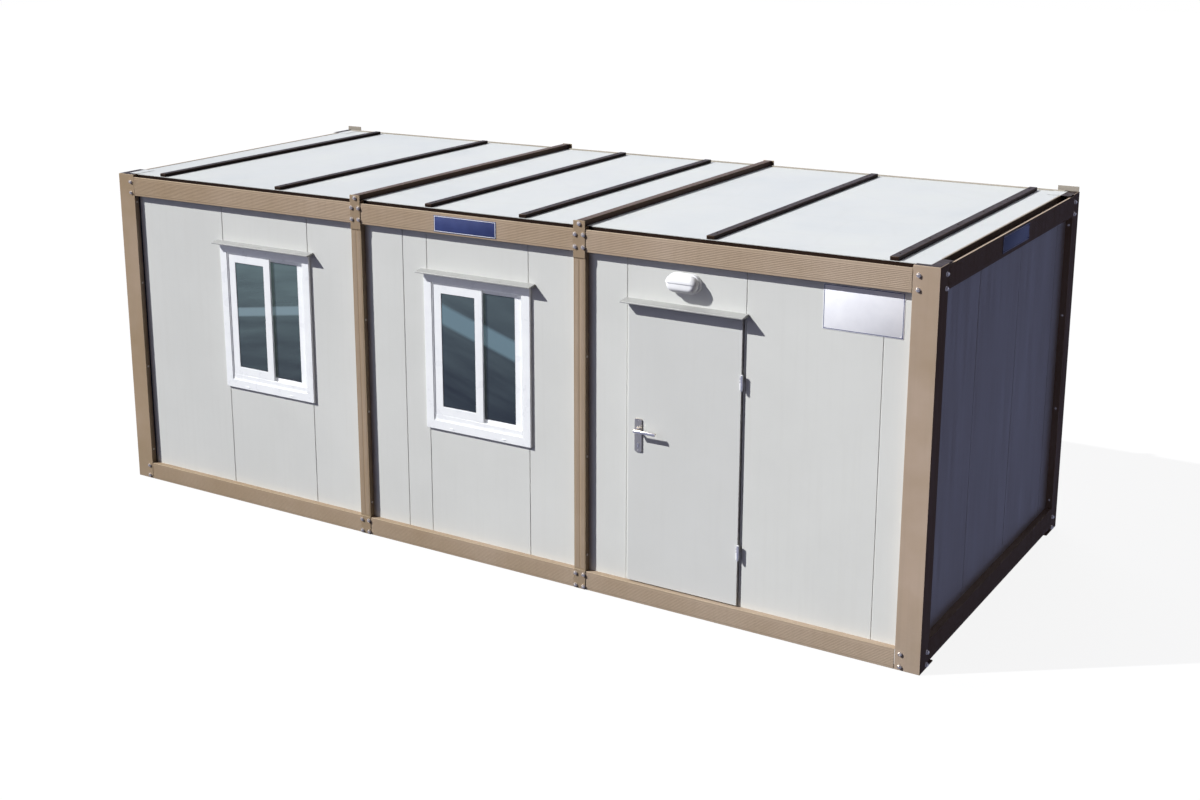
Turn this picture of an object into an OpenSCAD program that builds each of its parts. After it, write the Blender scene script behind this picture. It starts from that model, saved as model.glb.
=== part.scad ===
// Portable site cabin: a bolted steel frame of posts, columns and folded beams,
// filled in with sandwich wall panels, under a flat sheeted roof.
// X runs along the long side, the front faces -Y, Z is up and 0 is the ground.
// The origin lies on the ground under the middle of the frame. All sizes in mm.

/* [Cabin] */
// Length over the corner posts
cabin_l = 7000; // [5600:10:9000]
// Depth over the corner posts
cabin_w = 3000; // [2400:10:3600]
// Height of the corner posts
cabin_h = 2650; // [2500:10:3200]

/* [Steel frame] */
// Thickness of the folded steel
steel_t = 4; // [3:0.5:6]
// Width of a corner post on the front and rear
post_long_w = 170; // [130:5:220]
// Width of a corner post on the ends
post_end_w = 150; // [120:5:220]
// Thickness of the plate that closes a post's top
cap_t = 6; // [4:1:12]
// Length of a foot plate, along the end of the cabin
foot_l = 240; // [170:5:300]
// Thickness of a foot plate
foot_t = 10; // [6:1:16]
// Width of a column between two bays
column_w = 95; // [70:5:130]
// Distance of each column from the middle of the long side
column_x = 980; // [800:10:1150]
// Height of a roof beam's face
roof_beam_h = 155; // [120:5:200]
// How far a long roof beam's lip lies below the post tops
roof_beam_drop = 20; // [10:5:40]
// How far an end roof beam's lip lies below the post tops
end_roof_beam_drop = 10; // [5:5:40]
// Width of the lip on the roof beams
beam_lip = 14; // [8:1:25]
// Height of a long base beam's face
base_beam_h = 140; // [110:5:180]
// Gap between the ground and an end base beam
end_base_lift = 35; // [20:5:60]
// How far the end base beams stand above the long ones
end_base_rise = 50; // [20:5:80]
// Width of the bottom flange of the base beams
base_flange = 60; // [40:5:80]
// Gap between a beam's end and the post or column beside it
beam_end_gap = 2; // [1:0.5:5]

/* [Column plates] */
// Thickness of the bolted plates
plate_t = 5; // [3:1:10]
// Height of a head plate
head_plate_h = 260; // [200:5:320]
// How far a head plate rises above the post tops
head_plate_rise = 40; // [20:5:60]
// Height of a foot plate on a column
base_plate_h = 145; // [120:5:180]

/* [Walls] */
// Thickness of a wall panel
wall_t = 60; // [40:5:100]
// Depth of the walls behind the frame's face
wall_recess = 48; // [35:1:60]
// Width of a full panel on the long sides
panel_w = 930; // [700:10:1200]
// Width of a full panel on the ends
end_panel_w = 865; // [700:5:1200]
// Width of the narrow filler panel beside the right window
filler_w = 220; // [150:10:400]
// Narrowest strip that is cut as a panel of its own
strip_min = 110; // [40:10:160]
// Open joint between two panels
panel_joint = 0.6; // [0.4:0.1:0.9]
// Chamfer along a panel's edges
panel_chamfer = 4; // [2:1:8]

/* [Floor] */
// Height of the finished floor
floor_z = 150; // [130:5:180]
// Thickness of the floor deck
deck_t = 18; // [12:1:30]
// Width of a floor joist's flanges
joist_w = 60; // [40:5:80]
// Distance between the floor joists
joist_pitch = 500; // [400:10:625]

/* [Roof] */
// Thickness of the sheeted roof panels
roof_t = 50; // [40:5:55]
// Distance between the end face and the roof panels
roof_end_gap = 75; // [60:5:100]
// Distance of the panels' front edge behind the wall's face
roof_setback = 2; // [1:1:10]
// Width of a seam cap
seam_w = 58; // [30:2:80]
// Height of a seam cap
seam_h = 26; // [15:1:60]
// How far a seam cap ends before the panels' rear edge
seam_short = 60; // [20:10:150]
// Distance between the seams of the outer bays
seam_pitch = 1245; // [1000:5:1300]
// Distance of the first seam from the left end
seam_left = 460; // [300:10:600]
// Distance of the last seam from the right end
seam_right = 310; // [250:10:600]
// Distance of the first seam in the middle bay from the left column
seam_middle = 640; // [400:10:700]
// Distance between the two seams in the middle bay
seam_middle_pitch = 820; // [500:10:900]
// Width of the cap over a column line
cross_w = 60; // [40:5:90]
// Open gap on the left of that cap
cross_gap = 18; // [8:1:30]

/* [Windows] */
// Middle of the left window, from the middle of the cabin
window_left_x = -1955; // [-2000:5:-1700]
// Middle of the right window, from the middle of the cabin
window_right_x = 85; // [0:5:200]
// Width of a window's hole in the wall
window_w = 890; // [600:1:1070]
// Height of a window's hole in the wall
window_h = 1155; // [700:5:1300]
// Height of the hole's lower edge
window_sill = 993; // [850:1:1100]
// How far the trim laps over the wall
trim_lap = 20; // [12:1:30]
// How far the trim stands out of the wall
trim_proud = 20; // [10:1:25]
// How far the inner trim stands out of the wall
inner_trim_proud = 12; // [6:1:20]
// Width of the frame inside the hole
jamb_w = 48; // [35:1:60]
// Width of the frame's inner step
step_w = 12; // [8:1:20]
// Height of the step along the sill
sill_step = 45; // [25:1:60]
// Depth of the step behind the trim's face
step_depth = 9; // [4:1:15]
// Width of the opening sash, from the frame's left side
sash_w = 432; // [300:1:450]
// Width of the bars of a sash
sash_bar = 67; // [40:1:80]
// Width of the top and bottom bars of the fixed sash
fixed_bar = 26; // [15:1:50]
// Depth of a sash
sash_t = 18; // [16:1:28]
// Clearance between a sash and its track
sash_gap = 0.5; // [0.3:0.1:0.9]
// Thickness of the glass
glass_t = 8; // [4:1:14]

/* [Hoods] */
// How far a window hood stands out of the wall
hood_out = 78; // [60:1:120]
// How far a window hood reaches past the window's hole at each side
hood_over = 57; // [40:1:90]
// How far the door hood stands out of the wall
door_hood_out = 92; // [70:1:130]
// How far the door hood reaches past the leaf at each side
door_hood_over = 33; // [20:1:80]
// Gap between the leaf's top and the door hood
door_hood_gap = 10; // [6:1:30]
// Height of a hood at the wall
hood_wall_h = 21; // [16:1:60]
// Height of a hood's front edge
hood_edge_h = 10; // [8:1:20]

/* [Door] */
// Middle of the door, from the middle of the cabin
door_x = 1777; // [1600:1:1800]
// Width of the leaf
leaf_w = 846; // [700:1:950]
// Height of the leaf
leaf_h = 2008; // [1800:1:2060]
// Thickness of the leaf
leaf_t = 50; // [40:1:55]
// How far the leaf stands out of the wall
leaf_proud = 20; // [10:1:25]
// Clearance round the leaf
leaf_gap = 5; // [5:0.5:8]
// Clearance on the lock side, where the leaf's edge swings past the frame
lock_gap = 7; // [7:0.5:10]
// Width of the door frame's face
door_frame_w = 14; // [10:1:30]
// How far the frame's stop reaches behind the leaf
door_stop = 20; // [15:1:30]
// Radius of a hinge knuckle
knuckle_r = 8.5; // [7.5:0.5:12]
// Height of a whole hinge
hinge_h = 105; // [80:1:140]
// Distance of a hinge's axis from the leaf's edge
hinge_out = 7; // [4:0.5:12]
// Distance of a hinge's axis in front of the leaf
hinge_proud = 8; // [5:0.5:12]
// Width of the hinge flag that lies on the leaf
hinge_flag = 18; // [14:1:60]
// Radius of a hinge pin
pin_r = 5; // [3:0.5:6]
// Clearance of a pin or spindle in its hole
pin_gap = 0.08; // [0.05:0.01:0.1]
// Gap between the two halves of a hinge
knuckle_gap = 0.3; // [0.2:0.1:0.8]
// Height of the lower hinge's middle
hinge_low_z = 535; // [400:5:700]
// Height of the upper hinge's middle
hinge_high_z = 1725; // [1500:5:1800]

/* [Door handle] */
// Distance of the handle's middle from the leaf's free edge
handle_in = 83; // [60:1:110]
// Height of the lever's spindle
handle_z = 1272; // [1000:1:1400]
// Width of the handle plate
handle_plate_w = 56; // [40:1:60]
// Height of the handle plate
handle_plate_h = 240; // [180:1:260]
// Thickness of the handle plate
handle_plate_t = 8; // [5:1:12]
// How far the spindle lies below the plate's top
spindle_drop = 79; // [60:1:100]
// Radius of the lever's neck
neck_r = 9; // [7:0.5:12]
// Radius of the spindle inside the leaf
spindle_r = 5; // [4:0.5:6]
// Clearance round the spindle inside the leaf
spindle_gap = 7; // [5:0.5:10]
// Length of the lever from its spindle
lever_l = 158; // [110:1:170]
// How far the lever stands out of the leaf
lever_out = 62; // [50:1:80]
// Height of the lever's bar
lever_bar_h = 24; // [15:1:26]
// Depth of the lever's bar
lever_bar_t = 16; // [10:1:18]

/* [Lamp] */
// Distance of the lamp from the door's middle
lamp_dx = -7; // [-100:1:100]
// Height of the lamp's middle over the door hood's underside
lamp_up = 172; // [140:1:220]
// Length of the lamp
lamp_l = 250; // [180:1:300]
// Height of the lamp
lamp_h = 134; // [100:1:160]
// Depth of the lamp's base
lamp_base_d = 34; // [25:1:50]
// Depth of the whole lamp
lamp_d = 95; // [70:1:110]
// Thickness of the lamp's housing
lamp_shell = 5; // [3:0.5:8]

/* [Hidden] */
$fn = 48;
half_l = cabin_l / 2;
half_w = cabin_w / 2;
wall_in = wall_recess + wall_t;
wall_z0 = base_beam_h;
roof_z0 = cabin_h - roof_t;
wall_z1 = roof_z0 - steel_t;
roof_front_gap = wall_recess + roof_setback;
end_base_top = base_beam_h + end_base_rise;
deck_z = floor_z - deck_t;
inner_x = half_l - wall_in;
inner_y = half_w - wall_in;
wall_y = -half_w + wall_recess;
bay_edge = column_x + column_w / 2 + beam_end_gap;
post_edge = half_l - post_long_w - beam_end_gap;
window_head = window_sill + window_h;
window_hood_z = window_head + trim_lap;
frame_clear_w = window_w - 2 * jamb_w;
step_clear_w = frame_clear_w - 2 * step_w;
step_z0 = window_sill + jamb_w + sill_step;
step_z1 = window_head - jamb_w - step_w;
outer_track = step_depth + 2 - trim_proud;
inner_track = outer_track + sash_t + 2;
sash_lap = sash_bar + 15;
leaf_y = wall_y - leaf_proud;
leaf_x0 = door_x - leaf_w / 2;
leaf_x1 = door_x + leaf_w / 2;
leaf_z0 = floor_z;
door_hood_z = leaf_z0 + leaf_h + door_hood_gap;
door_hole_x0 = leaf_x0 - lock_gap - door_frame_w;
door_hole_x1 = leaf_x1 + leaf_gap + door_frame_w;
door_hole_z1 = leaf_z0 + leaf_h + leaf_gap + door_frame_w;
door_stop_y = leaf_y + leaf_t + leaf_gap;
hinge_x = leaf_x1 + hinge_out;
hinge_y = leaf_y - hinge_proud;
handle_x = leaf_x0 + handle_in;
handle_plate_z0 = handle_z + spindle_drop - handle_plate_h;
lamp_x = door_x + lamp_dx;
lamp_z = door_hood_z + lamp_up;
seams = [
    -half_l + seam_left,
    -half_l + seam_left + seam_pitch,
    -column_x + seam_middle,
    -column_x + seam_middle + seam_middle_pitch,
    half_l - seam_right - seam_pitch,
    half_l - seam_right
];

BEIGE = "#A59480";
PANEL = "#CDCDCA";
ROOF = "#E4E8EA";
WHITE = "#EBECF0";
BROWN = "#3A2B25";
STEEL = "#969694";
TIMBER = "#8A7458";

// ---- helpers ----

// An outline in (Y, Z), drawn out along X.
module along_x(x0, x1) {
    translate([x0, 0, 0])
        rotate([90, 0, 90])
            linear_extrude(height = x1 - x0)
                children();
}

// An outline in (X, Z), drawn out along Y.
module along_y(y0, y1) {
    translate([0, y1, 0])
        rotate([90, 0, 0])
            linear_extrude(height = y1 - y0)
                children();
}

// A box between two corners.
module block(a, b) {
    translate(a)
        cube(b - a);
}

// A flat rectangle between two corners.
module plate2(a, b) {
    translate(a)
        square(b - a);
}

// A rectangle with round ends, lying along X.
module stadium(l, h) {
    square([l - h, h], center = true);
    for (s = [-1, 1])
        translate([s * (l - h) / 2, 0])
            circle(d = h);
}

// Turns a piece drawn for the front left corner to another corner.
module at_corner(right, rear) {
    mirror([right ? 1 : 0, 0, 0])
        mirror([0, rear ? 1 : 0, 0])
            translate([-half_l, -half_w, 0])
                children();
}

// Turns a piece drawn for the front to the rear.
module at_rear() {
    rotate([0, 0, 180])
        children();
}

// ---- frame ----

// A folded post: two legs with a return on each, on a foot plate and under a cap.
module corner_post() {
    translate([0, 0, foot_t])
        linear_extrude(height = cabin_h - cap_t - foot_t)
            union() {
                plate2([0, 0], [post_long_w, steel_t]);
                plate2([0, 0], [steel_t, post_end_w]);
                plate2([post_long_w - steel_t, 0], [post_long_w, wall_recess]);
                plate2([0, post_end_w - steel_t], [wall_recess, post_end_w]);
            }
    translate([0, 0, cabin_h - cap_t])
        linear_extrude(height = cap_t)
            union() {
                plate2([0, 0], [post_long_w, wall_recess]);
                plate2([0, 0], [wall_recess, post_end_w]);
            }
    linear_extrude(height = foot_t)
        union() {
            plate2([0, 0], [post_long_w, post_end_w]);
            plate2([0, 0], [wall_recess, foot_l]);
        }
}

module post_front_left() color(BEIGE) at_corner(false, false) corner_post();
module post_front_right() color(BEIGE) at_corner(true, false) corner_post();
module post_rear_left() color(BEIGE) at_corner(false, true) corner_post();
module post_rear_right() color(BEIGE) at_corner(true, true) corner_post();

// A channel that stands open towards the wall.
module column(x) {
    translate([x, -half_w, 0])
        linear_extrude(height = cabin_h)
            union() {
                plate2([-column_w / 2, 0], [column_w / 2, steel_t]);
                plate2([-column_w / 2, 0], [steel_t - column_w / 2, wall_recess]);
                plate2([column_w / 2 - steel_t, 0], [column_w / 2, wall_recess]);
            }
}

module column_front_left() color(BEIGE) column(-column_x);
module column_front_right() color(BEIGE) column(column_x);
module column_rear_left() color(BEIGE) at_rear() column(column_x);
module column_rear_right() color(BEIGE) at_rear() column(-column_x);

// The head and base plates that the beams are bolted through.
module column_plates() {
    color(BEIGE)
        for (turn = [0, 180], s = [-1, 1])
            rotate([0, 0, turn])
                translate([s * column_x - column_w / 2, -half_w - plate_t, 0]) {
                    cube([column_w, plate_t, base_plate_h]);
                    translate([0, 0, cabin_h + head_plate_rise - head_plate_h])
                        cube([column_w, plate_t, head_plate_h]);
                }
}

// Outline of a long base beam: face, ledge under the wall and bottom flange.
module base_beam_outline() {
    plate2([0, 0], [steel_t, base_beam_h]);
    plate2([0, base_beam_h - steel_t], [wall_in, base_beam_h]);
    plate2([0, 0], [base_flange, steel_t]);
}

// Outline of an end base beam, which is raised and carries the wall on a lower ledge.
module end_base_beam_outline() {
    plate2([0, end_base_lift], [steel_t, end_base_top]);
    plate2([0, end_base_top - steel_t], [wall_recess, end_base_top]);
    plate2([wall_recess - steel_t, base_beam_h - steel_t], [wall_recess, end_base_top]);
    plate2([wall_recess - steel_t, base_beam_h - steel_t], [wall_in, base_beam_h]);
    plate2([0, end_base_lift], [base_flange, end_base_lift + steel_t]);
}

// Outline of a roof beam: face, lip, gutter and bottom flange.
module roof_beam_outline(top) {
    plate2([0, top - roof_beam_h], [steel_t, top]);
    plate2([0, top - steel_t], [beam_lip, top]);
    plate2([beam_lip - steel_t, wall_z1], [beam_lip, top]);
    plate2([beam_lip - steel_t, wall_z1], [wall_in, roof_z0]);
    plate2([0, top - roof_beam_h], [wall_recess, top - roof_beam_h + steel_t]);
}

// A long side's beam, in three lengths that stop at the posts and columns.
module bay_beam() {
    column_edge = column_x - column_w / 2 - beam_end_gap;
    for (span = [[-post_edge, -bay_edge], [-column_edge, column_edge], [bay_edge, post_edge]])
        translate([0, -half_w, 0])
            along_x(span[0], span[1])
                children();
}

// An end's beam, from post to post, drawn for the left end.
module end_beam() {
    reach = half_w - post_end_w - beam_end_gap;
    translate([-half_l, 0, 0])
        along_y(-reach, reach)
            children();
}

module base_beam_front() color(BEIGE) bay_beam() base_beam_outline();
module base_beam_rear() color(BEIGE) at_rear() bay_beam() base_beam_outline();
module base_beam_left() color(BEIGE) end_beam() end_base_beam_outline();
module base_beam_right() color(BEIGE) at_rear() end_beam() end_base_beam_outline();
module roof_beam_front() color(BEIGE) bay_beam() roof_beam_outline(cabin_h - roof_beam_drop);
module roof_beam_rear() color(BEIGE) at_rear() bay_beam() roof_beam_outline(cabin_h - roof_beam_drop);
module roof_beam_left() color(BEIGE) end_beam() roof_beam_outline(cabin_h - end_roof_beam_drop);
module roof_beam_right() color(BEIGE) at_rear() end_beam() roof_beam_outline(cabin_h - end_roof_beam_drop);

// ---- floor ----

// One joist is on the middle line and the others are spread to both sides of it.
module floor_joists() {
    count = floor((inner_x - joist_w) / joist_pitch);
    reach = half_w - base_flange;
    color(BEIGE)
        for (i = [-count : count])
            translate([i * joist_pitch, 0, 0])
                along_y(-reach, reach)
                    union() {
                        plate2([-joist_w / 2, 0], [joist_w / 2, steel_t]);
                        plate2([-joist_w / 2, deck_z - steel_t], [joist_w / 2, deck_z]);
                        plate2([-joist_w / 2, 0], [-joist_w / 2 + steel_t, deck_z]);
                    }
}

module floor_deck() {
    color(TIMBER)
        block([-inner_x, -inner_y, deck_z], [inner_x, inner_y, floor_z]);
}

// ---- walls ----

// A sandwich panel with chamfered edges, its outer face on y = 0.
module panel(x0, x1, z0, z1) {
    a = x0 + panel_joint / 2;
    b = x1 - panel_joint / 2;
    c = panel_chamfer;
    translate([0, 0, z0])
        linear_extrude(height = z1 - z0)
            polygon([[a + c, 0], [b - c, 0], [b, c], [b, wall_t - c],
                     [b - c, wall_t], [a + c, wall_t], [a, wall_t - c], [a, c]]);
}

// Full panels from a towards b, the last one cut to fit.
module panel_run(a, b, width) {
    way = sign(b - a);
    count = max(1, ceil((abs(b - a) - strip_min) / width));
    for (i = [0 : count - 1]) {
        p = a + way * i * width;
        q = i == count - 1 ? b : p + way * width;
        panel(min(p, q), max(p, q), wall_z0, wall_z1);
    }
}

// The panels under and over a window.
module window_panels(x) {
    panel(x - window_w / 2, x + window_w / 2, wall_z0, window_sill);
    panel(x - window_w / 2, x + window_w / 2, window_head, wall_z1);
}

module wall_front_left_bay() {
    color(PANEL)
        translate([0, wall_y, 0]) {
            panel_run(window_left_x - window_w / 2, -inner_x, panel_w);
            window_panels(window_left_x);
            panel_run(window_left_x + window_w / 2, -column_x, panel_w);
        }
}

module wall_front_middle_bay() {
    filler_x = window_right_x - window_w / 2 - filler_w;
    color(PANEL)
        translate([0, wall_y, 0]) {
            panel_run(filler_x, -column_x, panel_w);
            panel(filler_x, filler_x + filler_w, wall_z0, wall_z1);
            window_panels(window_right_x);
            panel_run(window_right_x + window_w / 2, column_x, panel_w);
        }
}

module wall_front_door_bay() {
    color(PANEL)
        translate([0, wall_y, 0]) {
            panel_run(door_hole_x0, column_x, panel_w);
            panel(door_hole_x0, door_hole_x1, door_hole_z1, wall_z1);
            panel_run(door_hole_x1, inner_x, panel_w);
        }
}

module wall_rear() {
    color(PANEL)
        at_rear()
            translate([0, wall_y, 0]) {
                panel_run(-column_x, -inner_x, panel_w);
                panel_run(-column_x, column_x, panel_w);
                panel_run(column_x, inner_x, panel_w);
            }
}

// The end walls run past the long walls, from frame to frame.
module end_wall(first) {
    reach = half_w - wall_recess;
    color(PANEL)
        translate([half_l - wall_recess, 0, 0])
            rotate([0, 0, 90])
                panel_run(first * reach, -first * reach, end_panel_w);
}

module wall_right() end_wall(-1);
module wall_left() at_rear() end_wall(1);

// ---- windows ----

// A ring in (X, Z) round the rectangle a-b, with its outer edge on c-d.
module ring_xz(y0, y1, c, d, a, b) {
    along_y(y0, y1)
        difference() {
            plate2(c, d);
            plate2(a, b);
        }
}

// Outer trim, frame through the wall, inner step with a sill, and inner trim.
module window_frame(x) {
    hole = [[x - window_w / 2, window_sill], [x + window_w / 2, window_head]];
    lap = [trim_lap, trim_lap];
    jamb = [jamb_w, jamb_w];
    inner = wall_y + wall_t;
    color(WHITE)
        union() {
            ring_xz(wall_y - trim_proud, wall_y, hole[0] - lap, hole[1] + lap,
                    hole[0] + jamb, hole[1] - jamb);
            ring_xz(wall_y, inner, hole[0], hole[1], hole[0] + jamb, hole[1] - jamb);
            ring_xz(wall_y + step_depth - trim_proud, inner + inner_trim_proud, hole[0], hole[1],
                    [x - step_clear_w / 2, step_z0], [x + step_clear_w / 2, step_z1]);
            ring_xz(inner, inner + inner_trim_proud, hole[0] - lap, hole[1] + lap,
                    hole[0] + jamb, hole[1] - jamb);
        }
}

// A sash between x0 and x1, with its own bar sizes.
module sash(x0, x1, y0, rail) {
    ring_xz(wall_y + y0, wall_y + y0 + sash_t,
            [x0, step_z0 + sash_gap], [x1, step_z1 - sash_gap],
            [x0 + sash_bar, step_z0 + rail], [x1 - sash_bar, step_z1 - rail]);
}

// The opening sash in the outer track, and the fixed one behind it.
module window_sashes(x) {
    left = x - step_clear_w / 2 + sash_gap;
    right = x + step_clear_w / 2 - sash_gap;
    color(WHITE) {
        sash(left, left + sash_w, outer_track, sash_bar);
        sash(left + sash_w - sash_lap, right, inner_track, fixed_bar);
    }
}

// A pane that fills its sash.
module pane(x0, x1, y0, rail) {
    mid = wall_y + y0 + sash_t / 2;
    block([x0 + sash_bar, mid - glass_t / 2, step_z0 + rail],
          [x1 - sash_bar, mid + glass_t / 2, step_z1 - rail]);
}

module window_glass(x) {
    left = x - step_clear_w / 2 + sash_gap;
    right = x + step_clear_w / 2 - sash_gap;
    color("#3E4E55", 0.5) {
        pane(left, left + sash_w, outer_track, sash_bar);
        pane(left + sash_w - sash_lap, right, inner_track, fixed_bar);
    }
}

module window_left_frame() window_frame(window_left_x);
module window_left_sashes() window_sashes(window_left_x);
module window_left_glass() window_glass(window_left_x);
module window_right_frame() window_frame(window_right_x);
module window_right_sashes() window_sashes(window_right_x);
module window_right_glass() window_glass(window_right_x);

// A drip hood: it falls towards its front edge and rests on what it shelters.
module hood(x, z, l, out) {
    translate([0, wall_y, z])
        along_x(x - l / 2, x + l / 2)
            polygon([[0, 0], [-out, 0], [-out, hood_edge_h], [0, hood_wall_h]]);
}

module window_hoods() {
    color(PANEL)
        for (x = [window_left_x, window_right_x])
            hood(x, window_hood_z, window_w + 2 * hood_over, hood_out);
}

module door_hood() {
    color(PANEL)
        hood(door_x, door_hood_z, leaf_w + 2 * door_hood_over, door_hood_out);
}

// ---- door ----

// A frame through the wall, rebated for the leaf, with a threshold.
module door_frame() {
    inner = wall_y + wall_t;
    sill = leaf_z0 - leaf_gap;
    head = leaf_z0 + leaf_h + leaf_gap;
    joint = panel_joint / 2;
    color(PANEL)
        difference() {
            block(
                [door_hole_x0 + joint, wall_y, wall_z0],
                [door_hole_x1 - joint, inner, door_hole_z1 - joint]
            );
            block([leaf_x0 - lock_gap, wall_y - 1, sill], [leaf_x1 + leaf_gap, door_stop_y, head]);
            block([leaf_x0 - lock_gap + door_stop, wall_y - 1, floor_z],
                  [leaf_x1 + leaf_gap - door_stop, inner + 1, head - door_stop]);
        }
}

// A hole or shaft along Y through the handle's axis.
module on_spindle(r, y0, y1) {
    translate([handle_x, y1, handle_z])
        rotate([90, 0, 0])
            cylinder(r = r, h = y1 - y0);
}

module door_leaf() {
    color(PANEL)
        difference() {
            block([leaf_x0, leaf_y, leaf_z0], [leaf_x1, leaf_y + leaf_t, leaf_z0 + leaf_h]);
            on_spindle(spindle_r + spindle_gap, leaf_y - 1, leaf_y + leaf_t + 1);
        }
}

// Puts a piece on each hinge's axis, at the hinge's lower end.
module at_hinges() {
    for (z = [hinge_low_z, hinge_high_z])
        translate([hinge_x, hinge_y, z - hinge_h / 2])
            children();
}

// The lower half: a knuckle with its pin, on a plate that stands on the door frame.
module hinge_pins() {
    half = (hinge_h - knuckle_gap) / 2;
    color(STEEL)
        at_hinges() {
            cylinder(r = knuckle_r, h = half);
            cylinder(r = pin_r, h = hinge_h - knuckle_r);
            block([-steel_t / 2, 0, 0], [steel_t / 2, wall_y - hinge_y, half]);
        }
}

// The upper half: a bored knuckle on a flag that lies on the leaf.
module hinge_knuckles() {
    half = (hinge_h - knuckle_gap) / 2;
    color(STEEL)
        at_hinges()
            translate([0, 0, half + knuckle_gap])
                difference() {
                    union() {
                        cylinder(r = knuckle_r, h = half);
                        block([-hinge_flag, leaf_y - hinge_y - steel_t, 0], [0, leaf_y - hinge_y, half]);
                    }
                    translate([0, 0, -1])
                        cylinder(r = pin_r + pin_gap, h = half - knuckle_r / 2);
                }
}

// The long plates on both faces of the leaf, bored for the lever's necks.
module handle_plates() {
    w = handle_plate_w;
    z1 = handle_plate_z0 + handle_plate_h;
    color(STEEL)
        for (y = [leaf_y - handle_plate_t, leaf_y + leaf_t])
            difference() {
                block([handle_x - w / 2, y, handle_plate_z0], [handle_x + w / 2, y + handle_plate_t, z1]);
                on_spindle(neck_r + pin_gap, y - 1, y + handle_plate_t + 1);
            }
}

// The bar of a lever, a rounded strip that reaches towards the hinges.
module lever_bar(y0) {
    r = lever_bar_t / 2;
    reach = lever_bar_h / 2 - r;
    translate([handle_x - neck_r, y0 + r, handle_z])
        rotate([90, 0, 90])
            linear_extrude(height = lever_l + neck_r)
                union() {
                    square([lever_bar_t, 2 * reach], center = true);
                    for (s = [-1, 1])
                        translate([0, s * reach])
                            circle(r = r);
                }
}

// Both levers on one spindle.
module door_lever() {
    back = leaf_y + leaf_t;
    color(STEEL)
        union() {
            on_spindle(neck_r, leaf_y - lever_out + lever_bar_t / 2, leaf_y);
            on_spindle(neck_r, back, back + lever_out - lever_bar_t / 2);
            on_spindle(spindle_r, leaf_y - 1, back + 1);
            lever_bar(leaf_y - lever_out);
            lever_bar(back + lever_out - lever_bar_t);
        }
}

// ---- lamp ----

// A stadium outline on the wall, drawn out towards the front.
module lamp_slab(d0, d1, inset) {
    translate([lamp_x, wall_y - d0, lamp_z])
        rotate([90, 0, 0])
            linear_extrude(height = d1 - d0)
                stadium(lamp_l - 2 * inset, lamp_h - 2 * inset);
}

module lamp_base() {
    color(WHITE)
        lamp_slab(0, lamp_base_d, 0);
}

// The diffuser, in two steps.
module lamp_lens() {
    color("#F4F4F0")
        union() {
            lamp_slab(lamp_base_d, lamp_d - 3 * lamp_shell, 2 * lamp_shell);
            lamp_slab(lamp_base_d, lamp_d - 2 * lamp_shell, 4 * lamp_shell);
        }
}

// The eyelid that covers the upper half of the diffuser.
module lamp_visor() {
    color(WHITE)
        difference() {
            lamp_slab(lamp_base_d, lamp_d, 0);
            lamp_slab(lamp_base_d - 1, lamp_d + 1, lamp_shell);
            block(
                [lamp_x - lamp_l, wall_y - 2 * lamp_d, lamp_z - lamp_h],
                [lamp_x + lamp_l, wall_y, lamp_z]
            );
        }
}

// ---- roof ----

// Panels between the seams; each column line is left open for its cap.
module roof_panels() {
    reach = half_w - roof_front_gap;
    left = half_l - roof_end_gap;
    cap = cross_w / 2;
    edges = [
        [-left, seams[0]], [seams[0], seams[1]], [seams[1], -column_x - cap - cross_gap],
        [-column_x + cap, seams[2]], [seams[2], seams[3]], [seams[3], column_x - cap - cross_gap],
        [column_x + cap, seams[4]], [seams[4], seams[5]], [seams[5], left]
    ];
    color(ROOF)
        for (e = edges)
            block([e[0] + panel_joint / 2, -reach, roof_z0], [e[1] - panel_joint / 2, reach, cabin_h]);
}

// A folded cap over each seam.
module roof_seam_caps() {
    reach = half_w - roof_front_gap;
    color(BROWN)
        for (x = seams)
            block([x - seam_w / 2, -reach, cabin_h], [x + seam_w / 2, reach - seam_short, cabin_h + seam_h]);
}

// The cap over a column line stands on the walls and reaches the head plates.
module roof_cross_caps() {
    top = cabin_h + head_plate_rise;
    reach = half_w - wall_recess;
    color(BEIGE)
        for (x = [-column_x, column_x])
            along_x(x - cross_w / 2, x + cross_w / 2)
                union() {
                    plate2([-reach, wall_z1], [reach, top]);
                    plate2([-half_w, cabin_h], [half_w, top]);
                }
}

post_front_left();
post_front_right();
post_rear_left();
post_rear_right();
column_front_left();
column_front_right();
column_rear_left();
column_rear_right();
column_plates();
base_beam_front();
base_beam_rear();
base_beam_left();
base_beam_right();
roof_beam_front();
roof_beam_rear();
roof_beam_left();
roof_beam_right();
floor_joists();
floor_deck();
wall_front_left_bay();
wall_front_middle_bay();
wall_front_door_bay();
wall_rear();
wall_left();
wall_right();
window_left_frame();
window_left_sashes();
window_left_glass();
window_right_frame();
window_right_sashes();
window_right_glass();
window_hoods();
door_frame();
door_leaf();
hinge_pins();
hinge_knuckles();
handle_plates();
door_lever();
door_hood();
lamp_base();
lamp_lens();
lamp_visor();
roof_panels();
roof_seam_caps();
roof_cross_caps();
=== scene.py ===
# %% [markdown]
# # A portable site cabin
# The cabin is a bolted steel frame, filled in with sandwich wall panels, under a flat sheeted
# roof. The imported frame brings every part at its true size, in metres: X runs along the long
# side, the front faces -Y and the ground is at z = 0. This notebook gives those parts their
# finishes, rounds their edges, and adds the small things that a cabin has: bolts, screws,
# pressed ribs, gaskets, a lock, flashings and the lamp's domes.

# %% Load the frame
from math import cos, pi, radians, sin, sqrt

import bmesh
import bpy
from mathutils import Matrix, Vector


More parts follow.
